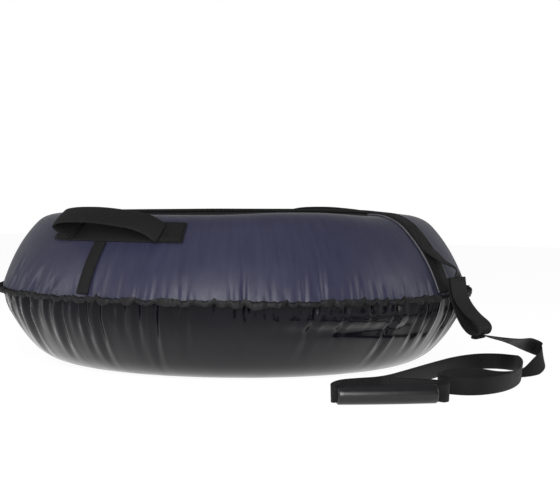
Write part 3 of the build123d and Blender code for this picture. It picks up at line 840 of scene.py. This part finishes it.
# ---- leash: one flat webbing from the tab, round a loose turn and through the hand grip ----
# Each point has the tilt of the webbing in degrees: 0 lies flat, 90 stands on its edge.
leash_route = [
    (0.5060, 0.0000, 0.0740, 0), (0.5240, 0.0120, 0.0690, 5), (0.5410, 0.0620, 0.0600, 12),
    (0.5310, 0.1280, 0.0510, 30), (0.5260, 0.1850, 0.0410, 62), (0.5375, 0.2125, 0.0310, 85),
    (0.5575, 0.1800, 0.0200, 80), (0.5670, 0.1180, 0.0110, 40), (0.5740, 0.0620, 0.0055, 14),
    (0.5520, 0.0100, 0.0055, 14), (0.5400, -0.0620, 0.0120, 50), (0.5120, -0.1300, 0.0145, 84),
    (0.5100, -0.1920, 0.0145, 88), (0.5440, -0.2280, 0.0145, 88), (0.5920, -0.2160, 0.0145, 88),
    (0.6120, -0.1500, 0.0145, 88), (0.6060, -0.0700, 0.0160, 86), (0.5900, -0.0150, 0.0220, 84),
    (0.5560, 0.0520, 0.0220, 84), (0.5320, 0.1000, 0.0160, 86), (0.4920, 0.1220, 0.0145, 88),
    (0.4600, 0.0960, 0.0145, 88), (0.4470, 0.0300, 0.0145, 88), (0.4500, -0.0600, 0.0145, 88),
    (0.4580, -0.1800, 0.0145, 88), (0.4640, -0.2820, 0.0145, 88), (0.4400, -0.3220, 0.0145, 88),
    (0.4240, -0.3520, 0.0145, 88), (0.4340, -0.4000, 0.0145, 88), (0.4520, -0.4215, 0.0145, 88),
    (0.5000, -0.3782, 0.0145, 88), (0.5260, -0.3555, 0.0145, 88), (0.5810, -0.3085, 0.0145, 88),
    (0.5780, -0.2840, 0.0145, 88), (0.5520, -0.2660, 0.0145, 88), (0.5140, -0.2740, 0.0145, 88),
    (0.4780, -0.2900, 0.0145, 88),
]
leash_line = smooth_line([Vector(p[:3]) for p in leash_route], 12)
tilt_line = smooth_line([Vector((p[3], 0, 0)) for p in leash_route], 12)
grip_start, grip_end = Vector((0.457, -0.4155, 0.0145)), Vector((0.569, -0.3183, 0.0145))
grip_middle = (grip_start + grip_end) / 2
grip_way = (grip_end - grip_start).normalized()
GRIP_LEN, GRIP_R, GRIP_BORE = 0.153, 0.0145, 0.0105
stations, leash_widths = [], []
for k, centre in enumerate(leash_line):
    ahead = (leash_line[min(k + 1, len(leash_line) - 1)] - leash_line[max(k - 1, 0)]).normalized()
    level = ahead.cross(Vector((0, 0, 1))).normalized()
    up = level.cross(ahead)
    tilt = radians(tilt_line[k].x)
    across = level * cos(tilt) + up * sin(tilt)
    stations.append((centre, across, ahead.cross(across)))
    inside = GRIP_LEN / 2 + 0.012 - abs((centre - grip_middle).dot(grip_way))
    beside = (centre - grip_middle - grip_way * (centre - grip_middle).dot(grip_way)).length
    narrow = min(1.0, max(0.0, inside / 0.022)) if beside < 0.02 else 0.0
    leash_widths.append(1.0 - 0.30 * narrow)
leash = ribbon("leash_webbing", stations, LEASH_W, 0.0020, 4, 0.0, leash_widths)

# The bar tack: dense zigzag thread through both layers of the hand loop's end.
tack_at = Vector((0.4695, -0.287, 0.0145))
tack_way = (Vector(leash_route[-2][:3]) - Vector(leash_route[-1][:3])).normalized()
tack_side = Vector((-tack_way.y, tack_way.x, 0))
zigzag = []
for face in (-1, 1):
    seam = []
    for k in range(25):
        place = tack_at + tack_way * (0.0045 if k % 2 else -0.0045) + tack_side * face * 0.0046
        seam.append((place + Vector((0, 0, 0.024 * (k / 24 - 0.5))), tack_side * face))
    zigzag.append(seam)
bar_tack = stitched("leash_bar_tack_thread", zigzag, 0.0031)

# Hand grip: a soft tube, a little bowed, with rolled ends.
bow = 0.0020
rings = []
for k in range(25):
    t = k / 24 - 0.5
    rings.append((t * (GRIP_LEN - 0.005), GRIP_R))
outer = [(-GRIP_LEN / 2, GRIP_R - 0.0026), (-GRIP_LEN / 2 + 0.0007, GRIP_R - 0.0010)] + rings
outer += [(GRIP_LEN / 2 - 0.0007, GRIP_R - 0.0010), (GRIP_LEN / 2, GRIP_R - 0.0026)]
bore = [(GRIP_LEN / 2 - 0.0006, GRIP_BORE + 0.0002), (GRIP_LEN / 2 - 0.02, GRIP_BORE), (0.0, GRIP_BORE),
        (-GRIP_LEN / 2 + 0.02, GRIP_BORE), (-GRIP_LEN / 2 + 0.0006, GRIP_BORE + 0.0002)]
grip_section = [(r, x) for x, r in outer + bore]
hand_grip = turned("leash_grip_sleeve", grip_section, 48, closed=True)
points = places(hand_grip)
grip_up = Vector((0, 0, 1))
grip_side = grip_up.cross(grip_way).normalized()
moved = []
for x, y, along in points:
    t = along / (GRIP_LEN / 2)
    swell = 1.0 - 0.02 * t * t
    side = grip_side * (x * swell) + grip_up * (y * swell)
    moved.append(grip_middle + grip_way * along + side + grip_side * bow * (t * t - 0.4))
put(hand_grip, moved)
point_outwards(hand_grip)
shade(hand_grip, 50)

# ---- zip ----
floor_top = FLOOR_Z - LAY


def arc_strip(name, middle_r, width, z, thickness, rows=150):
    """A flat strip along the zip's arc."""
    piece, along, side = grid(name, rows, 4)
    points = []
    for a, s in zip(along, side):
        turn = radians(180 - ZIP_ARC / 2 + ZIP_ARC * a)
        r = middle_r - s * width
        points.append((r * cos(turn), r * sin(turn), z + thickness / 2))
    put(piece, points)
    finish_strip(piece, radians(ZIP_ARC) * middle_r, width, thickness)
    return piece


TAPE_OUT, TAPE_W, TAPE_T = 0.00765, 0.0107, 0.001  # from the teeth's middle to a tape's middle
zip_tape = arc_strip("zip_tape_cloth", ZIP_R + TAPE_OUT, TAPE_W, floor_top + 0.0001, TAPE_T)
tape_other = arc_strip("zip_tape_other", ZIP_R - TAPE_OUT, TAPE_W, floor_top + 0.0001, TAPE_T)
join(zip_tape, tape_other)

bpy.ops.mesh.primitive_cube_add(size=1, scale=(0.0040, 0.0011, 0.0019))
tooth = added("tooth")
edit(tooth)
bpy.ops.mesh.select_all(action="SELECT")
bpy.ops.mesh.bevel(offset=0.0003, segments=1)
leave_edit()
tooth_places = []
tooth_step = 0.00155
tooth_count = int(radians(ZIP_ARC) * ZIP_R / tooth_step)
for k in range(tooth_count):
    turn = radians(180 - ZIP_ARC / 2) + (k + 0.5) * tooth_step / ZIP_R
    r = ZIP_R + (0.0010 if k % 2 else -0.0010)
    place = Vector((r * cos(turn), r * sin(turn), floor_top + 0.0012 + 0.001))
    tooth_places.append(facing(place, Vector((cos(turn), sin(turn), 0)), Vector((0, 0, 1))))
zip_teeth = joined("zip_teeth_row", tooth, tooth_places)


# ---- materials ----
def new_material(name, colour, roughness, **inputs):
    """A material with its even values set on the shader itself."""
    material = bpy.data.materials.new(name)
    material.use_nodes = True
    shader = material.node_tree.nodes["Principled BSDF"]
    shader.inputs["Base Color"].default_value = (*colour, 1)
    shader.inputs["Roughness"].default_value = roughness
    for key, value in inputs.items():
        shader.inputs[key.replace("_", " ")].default_value = value
    return material


def node(material, kind, **settings):
    made = material.node_tree.nodes.new(kind)
    for key, value in settings.items():
        if key in made.inputs.keys():
            made.inputs[key].default_value = value
        else:
            setattr(made, key, value)
    return made


def link(material, source, output, target, inlet):
    material.node_tree.links.new(source.outputs[output], target.inputs[inlet])


def shader_of(material):
    return material.node_tree.nodes["Principled BSDF"]


def coordinates(material, kind, scale):
    """Texture coordinates of one kind, stretched by a Mapping node."""
    source = node(material, "ShaderNodeTexCoord")
    mapping = node(material, "ShaderNodeMapping")
    mapping.inputs["Scale"].default_value = scale
    link(material, source, kind, mapping, "Vector")
    return mapping


def vary_colour(material, coords, scale, dark, light, detail=4.0):
    """Slow changes of colour between two tones."""
    noise = node(material, "ShaderNodeTexNoise", Scale=scale, Detail=detail)
    link(material, coords, "Vector", noise, "Vector")
    ramp = node(material, "ShaderNodeValToRGB")
    ramp.color_ramp.elements[0].position = 0.32
    ramp.color_ramp.elements[0].color = (*dark, 1)
    ramp.color_ramp.elements[1].position = 0.68
    ramp.color_ramp.elements[1].color = (*light, 1)
    link(material, noise, "Fac", ramp, "Fac")
    link(material, ramp, "Color", shader_of(material), "Base Color")
    return ramp


def spread_to(material, source, output, given, wanted, inlet):
    """Carry a value to an inlet of the shader, from one range to another."""
    spread = node(material, "ShaderNodeMapRange")
    for side, (low, high) in (("From", given), ("To", wanted)):
        spread.inputs[side + " Min"].default_value = low
        spread.inputs[side + " Max"].default_value = high
    link(material, source, output, spread, "Value")
    link(material, spread, "Result", shader_of(material), inlet)


def vary_roughness(material, coords, scale, low, high, detail=3.0):
    noise = node(material, "ShaderNodeTexNoise", Scale=scale, Detail=detail)
    link(material, coords, "Vector", noise, "Vector")
    spread_to(material, noise, "Fac", (0.3, 0.7), (low, high), "Roughness")


def bump_chain(material, heights):
    """Bumps laid on each other: each is a node, its output, a strength and a depth."""
    last = None
    for source, output, strength, distance in heights:
        bump = node(material, "ShaderNodeBump")
        bump.inputs["Strength"].default_value = strength
        bump.inputs["Distance"].default_value = distance
        link(material, source, output, bump, "Height")
        if last is not None:
            link(material, last, "Normal", bump, "Normal")
        last = bump
    link(material, last, "Normal", shader_of(material), "Normal")


def bands(material, coords, direction, pitch, distortion=0.0):
    """Ribs with a real pitch in metres."""
    wave = node(material, "ShaderNodeTexWave", bands_direction=direction)
    wave.inputs["Scale"].default_value = pi / 10 / pitch
    wave.inputs["Distortion"].default_value = distortion
    wave.inputs["Detail"].default_value = 1.0
    link(material, coords, "Vector", wave, "Vector")
    return wave


def woven(name, dark, light, roughness, pitch, sheen, streak=1.0):
    """Plain-woven cloth on a UV in metres, with faint streaks along the warp."""
    material = new_material(name, light, roughness, Sheen_Weight=sheen, Sheen_Roughness=0.4,
                            Specular_IOR_Level=0.35)
    cloth = coordinates(material, "UV", (1, 1, 1))
    long = coordinates(material, "UV", (1, 0.10 * streak, 1))
    vary_colour(material, long, 95.0, dark, light, 5.0)
    vary_roughness(material, cloth, 22.0, roughness - 0.05, roughness + 0.06)
    warp = bands(material, cloth, "X", pitch)
    weft = bands(material, cloth, "Y", pitch)
    soft = node(material, "ShaderNodeTexNoise", Scale=38.0, Detail=3.0)
    link(material, long, "Vector", soft, "Vector")
    bump_chain(material, [(soft, "Fac", 0.35, 0.0008), (warp, "Fac", 0.25, 0.00012),
                          (weft, "Fac", 0.25, 0.00012)])
    return material


def coated(name, dark, light):
    """Glossy coated cloth with a faint weave under the coating and slow ripples; its reflection is turned
    down near the seam as painted shade.
    """
    material = new_material(name, light, 0.2, Coat_Weight=0.3, Coat_Roughness=0.12)
    cloth = coordinates(material, "UV", (1, 1, 1))
    long = coordinates(material, "UV", (1, 0.25, 1))
    vary_colour(material, cloth, 14.0, dark, light)
    vary_roughness(material, cloth, 18.0, 0.17, 0.27)
    ripple = node(material, "ShaderNodeTexNoise", Scale=30.0, Detail=2.0)
    link(material, long, "Vector", ripple, "Vector")
    grain = node(material, "ShaderNodeTexVoronoi", Scale=900.0)
    link(material, cloth, "Vector", grain, "Vector")
    bump_chain(material, [(ripple, "Fac", 0.5, 0.0016), (grain, "Distance", 0.06, 0.0002)])
    # Painted shade: specular level and coat weight fall towards the seam, standing in for the shade under the
    # binding.
    parts = node(material, "ShaderNodeSeparateXYZ")
    link(material, cloth, "Vector", parts, "Vector")
    for inlet, gloss in (("Specular IOR Level", (0.10, 0.25)), ("Coat Weight", (0.10, 0.20))):
        spread_to(material, parts, "Y", (0.008, 0.075), gloss, inlet)  # less specular and coat near the seam: painted shade under the binding and its deep gathers
    return material


def ribbed(name, dark, light, roughness, rib=0.0016, warp=0.0007):
    """Webbing: ribs across it, fine warp threads along it and thicker edges."""
    material = new_material(name, light, roughness, Sheen_Weight=0.02, Sheen_Roughness=0.5,
                            Specular_IOR_Level=0.18)
    cloth = coordinates(material, "UV", (1, 1, 1))
    vary_colour(material, cloth, 260.0, dark, light)
    across = bands(material, cloth, "X", rib, 0.4)
    along = bands(material, cloth, "Y", warp)
    bump_chain(material, [(across, "Fac", 0.5, 0.0003), (along, "Fac", 0.35, 0.0002)])
    return material


def grained(name, dark, light, roughness, scale, depth, **inputs):
    """Rubber, foam, thread or plastic: a fine grain on object coordinates."""
    material = new_material(name, light, roughness, **inputs)
    place = coordinates(material, "Object", (1, 1, 1))
    vary_colour(material, place, scale / 6, dark, light)
    grain = node(material, "ShaderNodeTexNoise", Scale=scale, Detail=4.0)
    link(material, place, "Vector", grain, "Vector")
    bump_chain(material, [(grain, "Fac", 0.4, depth)])
    return material


navy = woven("navy_satin_cloth", (0.020, 0.0205, 0.044), (0.027, 0.0275, 0.056), 0.38, 0.0011, 0.10)
black_coated = coated("black_coated_cloth", (0.0022, 0.0022, 0.0040), (0.0036, 0.0036, 0.0062))
black_cloth = woven("black_lining_cloth", (0.004, 0.004, 0.005), (0.008, 0.008, 0.009), 0.6, 0.0012, 0.03)
binding_cloth = grained("binding_cloth", (0.003, 0.003, 0.004), (0.007, 0.007, 0.008), 0.6, 900, 0.0003,
                        Specular_IOR_Level=0.25)
webbing = ribbed("black_webbing", (0.0045, 0.004, 0.0045), (0.0085, 0.008, 0.0085), 0.66)
leash_black = ribbed("leash_webbing_black", (0.0015, 0.0013, 0.0018), (0.0036, 0.0032, 0.0040), 0.6,
                     0.0013, 0.0009)
zip_cloth = ribbed("zip_tape_black", (0.008, 0.008, 0.009), (0.014, 0.014, 0.015), 0.7, 0.0008, 0.0008)
thread = grained("black_thread", (0.006, 0.006, 0.007), (0.012, 0.012, 0.013), 0.65, 2500, 0.0001,
                 Specular_IOR_Level=0.25)
pipe_cloth = grained("piping_cloth", (0.040, 0.040, 0.048), (0.062, 0.060, 0.070), 0.55, 900, 0.0002)
grip_foam = grained("grip_rubber", (0.003, 0.003, 0.004), (0.006, 0.006, 0.007), 0.32, 700, 0.0001)
butyl = grained("bladder_rubber", (0.010, 0.010, 0.010), (0.020, 0.020, 0.020), 0.5, 300, 0.0003)
brass = grained("valve_brass", (0.42, 0.29, 0.11), (0.52, 0.38, 0.16), 0.3, 500, 0.0001, Metallic=1.0)
cap_plastic = grained("cap_plastic", (0.014, 0.014, 0.015), (0.022, 0.022, 0.024), 0.4, 600, 0.0001)
teeth_plastic = grained("zip_teeth_plastic", (0.012, 0.012, 0.013), (0.020, 0.020, 0.022), 0.35, 900, 0.0001)
zip_metal = grained("zip_metal", (0.30, 0.30, 0.31), (0.42, 0.42, 0.43), 0.32, 600, 0.0001, Metallic=1.0)


def dress(piece, material):
    piece.data.materials.clear()
    piece.data.materials.append(material)


# ---- who rides on what ----
def place_piece(piece, body, material, slot, *replaced):
    dress(piece, material)
    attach(piece, body)
    if replaced:
        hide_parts(*replaced)


place_piece(upper_cover, "tube", navy, "navy_cover", "upper_cover")
place_piece(lower_cover, "tube", black_coated, "black_cover", "lower_cover")
place_piece(seam_binding, "tube", binding_cloth, "binding", "seam_binding")
place_piece(seat_well, "tube", black_cloth, "well_lining", "seat_well")
place_piece(seat_floor, "tube", black_cloth, "well_lining", "seat_floor")
place_piece(well_tape, "tube", binding_cloth, "binding", "well_seam_tape")
place_piece(bladder, "tube", butyl, "bladder_rubber", "air_bladder")
for side, (base, patches, sewn, strap, down_strap, down_sewn) in (("near", near_pieces), ("far", far_pieces)):
    place_piece(base, "tube", webbing, "webbing", side + "_handle_base")
    place_piece(patches, "tube", webbing, "webbing", side + "_handle_patches")
    place_piece(strap, "tube", webbing, "webbing", side + "_handle_strap")
    place_piece(down_strap, "tube", webbing, "webbing", side + "_side_strap")
    place_piece(sewn, "tube", thread, "thread")
    place_piece(down_sewn, "tube", thread, "thread")
place_piece(tow_band, "tube", webbing, "webbing", "tow_band")
place_piece(tow_strap, "tube", webbing, "webbing", "tow_strap")
place_piece(tow_thread, "tube", thread, "thread")
place_piece(band_piping, "tube", pipe_cloth, "piping", "tow_band_piping")
place_piece(zip_tape, "tube", zip_cloth, "zip_tape", "zip_tape")
place_piece(zip_teeth, "tube", teeth_plastic, "zip_teeth", "zip_teeth")
place_piece(tow_tail, "tow_line", webbing, "webbing", "tow_strap_tail")
place_piece(tow_loop, "tow_line", webbing, "webbing", "tow_loop")
place_piece(loop_thread, "tow_line", thread, "thread")
place_piece(leash, "tow_line", leash_black, "leash_webbing", "leash")
place_piece(leash_tab, "tow_line", leash_black, "leash_webbing", "leash_tab")
place_piece(bar_tack, "tow_line", thread, "thread", "leash_bar_tack")
place_piece(hand_grip, "hand_grip", grip_foam, "grip", "leash_grip")

cad_finishes = {"valve_patch": butyl, "valve_stem": brass, "valve_core": brass, "valve_cap": cap_plastic,
                "zip_slider": zip_metal, "zip_pull": zip_metal}
for name, finish in cad_finishes.items():
    dress(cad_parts[name], finish)

# ---- camera ----
VIEW_DISTANCE, VIEW_HEIGHT = 2.464, 0.294
LENS, SENSOR = 81.94821, 36  # in millimetres
TURN_ASIDE, LOOK_DOWN, ROLL = 1.95, 2.12, 0.6  # in degrees
camera_data = bpy.data.cameras.new("camera")
camera = bpy.data.objects.new("camera", camera_data)
bpy.context.scene.collection.objects.link(camera)
bpy.context.scene.camera = camera
camera_data.lens = LENS
camera_data.sensor_width = SENSOR
camera_data.clip_start, camera_data.clip_end = 0.05, 60
view = radians(VIEW_AZIMUTH)
camera.location = (VIEW_DISTANCE * sin(view), -VIEW_DISTANCE * cos(view), VIEW_HEIGHT)
heading = Matrix.Rotation(view - radians(TURN_ASIDE), 4, "Z")
pitch = Matrix.Rotation(radians(90 - LOOK_DOWN), 4, "X")
look = heading @ pitch @ Matrix.Rotation(radians(ROLL), 4, "Z")
camera.rotation_mode = "QUATERNION"
camera.rotation_quaternion = look.to_quaternion()

# ---- floor, backdrop and light ----
bpy.ops.mesh.primitive_plane_add(size=14, location=(0, 0, -0.0003))
floor = added("floor")


def bright_ground(name, colour, share):
    """Pale ground that shows nearly white and still takes the object's shadow."""
    material = bpy.data.materials.new(name)
    material.use_nodes = True
    nodes, links = material.node_tree.nodes, material.node_tree.links
    shader = nodes["Principled BSDF"]
    shader.inputs["Base Color"].default_value = (colour, colour, colour, 1)
    shader.inputs["Roughness"].default_value = 0.9
    shader.inputs["Specular IOR Level"].default_value = 0.0
    glow = nodes.new("ShaderNodeEmission")
    glow.inputs["Strength"].default_value = 1.1
    rays = nodes.new("ShaderNodeLightPath")
    seen = nodes.new("ShaderNodeMath")
    seen.operation = "MAXIMUM"
    links.new(rays.outputs["Is Camera Ray"], seen.inputs[0])
    links.new(rays.outputs["Is Glossy Ray"], seen.inputs[1])
    also = nodes.new("ShaderNodeMath")
    also.operation = "MAXIMUM"
    links.new(seen.outputs[0], also.inputs[0])
    links.new(rays.outputs["Is Transmission Ray"], also.inputs[1])
    part = nodes.new("ShaderNodeMath")
    part.operation = "MULTIPLY"
    part.inputs[1].default_value = share
    links.new(also.outputs[0], part.inputs[0])
    mix = nodes.new("ShaderNodeMixShader")
    links.new(part.outputs[0], mix.inputs[0])
    links.new(shader.outputs[0], mix.inputs[1])
    links.new(glow.outputs[0], mix.inputs[2])
    links.new(mix.outputs[0], nodes["Material Output"].inputs["Surface"])
    return material


dress(floor, bright_ground("pale_ground", 0.86, 0.86))

world = bpy.data.worlds.new("studio")
bpy.context.scene.world = world
world.use_nodes = True
nodes, links = world.node_tree.nodes, world.node_tree.links
dim = nodes["Background"]
dim.inputs["Color"].default_value = (1, 1, 1, 1)
dim.inputs["Strength"].default_value = 0.17
white = nodes.new("ShaderNodeBackground")
white.inputs["Color"].default_value = (1, 1, 1, 1)
white.inputs["Strength"].default_value = 1.0
rays = nodes.new("ShaderNodeLightPath")
mix = nodes.new("ShaderNodeMixShader")
links.new(rays.outputs["Is Camera Ray"], mix.inputs[0])
links.new(dim.outputs[0], mix.inputs[1])
links.new(white.outputs[0], mix.inputs[2])
links.new(mix.outputs[0], nodes["World Output"].inputs["Surface"])


def soft_light(name, azimuth, elevation, distance, size, power):
    """A square soft light that looks at the middle of the tube."""
    data = bpy.data.lights.new(name, "AREA")
    data.shape = "RECTANGLE"
    data.size, data.size_y = size
    data.energy = power
    lamp = bpy.data.objects.new(name, data)
    bpy.context.scene.collection.objects.link(lamp)
    a, e = radians(azimuth), radians(elevation)
    away = Vector((sin(a) * cos(e), -cos(a) * cos(e), sin(e)))
    lamp.location = Vector((0, 0, 0.14)) + away * distance
    lamp.rotation_mode = "QUATERNION"
    lamp.rotation_quaternion = away.to_track_quat("Z", "Y")
    return lamp


soft_light("top_light", VIEW_AZIMUTH, 74, 2.6, (2.4, 1.4), 3)
soft_light("front_light", VIEW_AZIMUTH - 6, 17, 3.0, (2.2, 1.2), 88)
soft_light("left_light", VIEW_AZIMUTH - 80, 18, 2.6, (0.8, 1.2), 12)
soft_light("right_light", VIEW_AZIMUTH + 80, 18, 2.6, (0.8, 1.2), 12)

bpy.context.scene.view_settings.view_transform = "Standard"
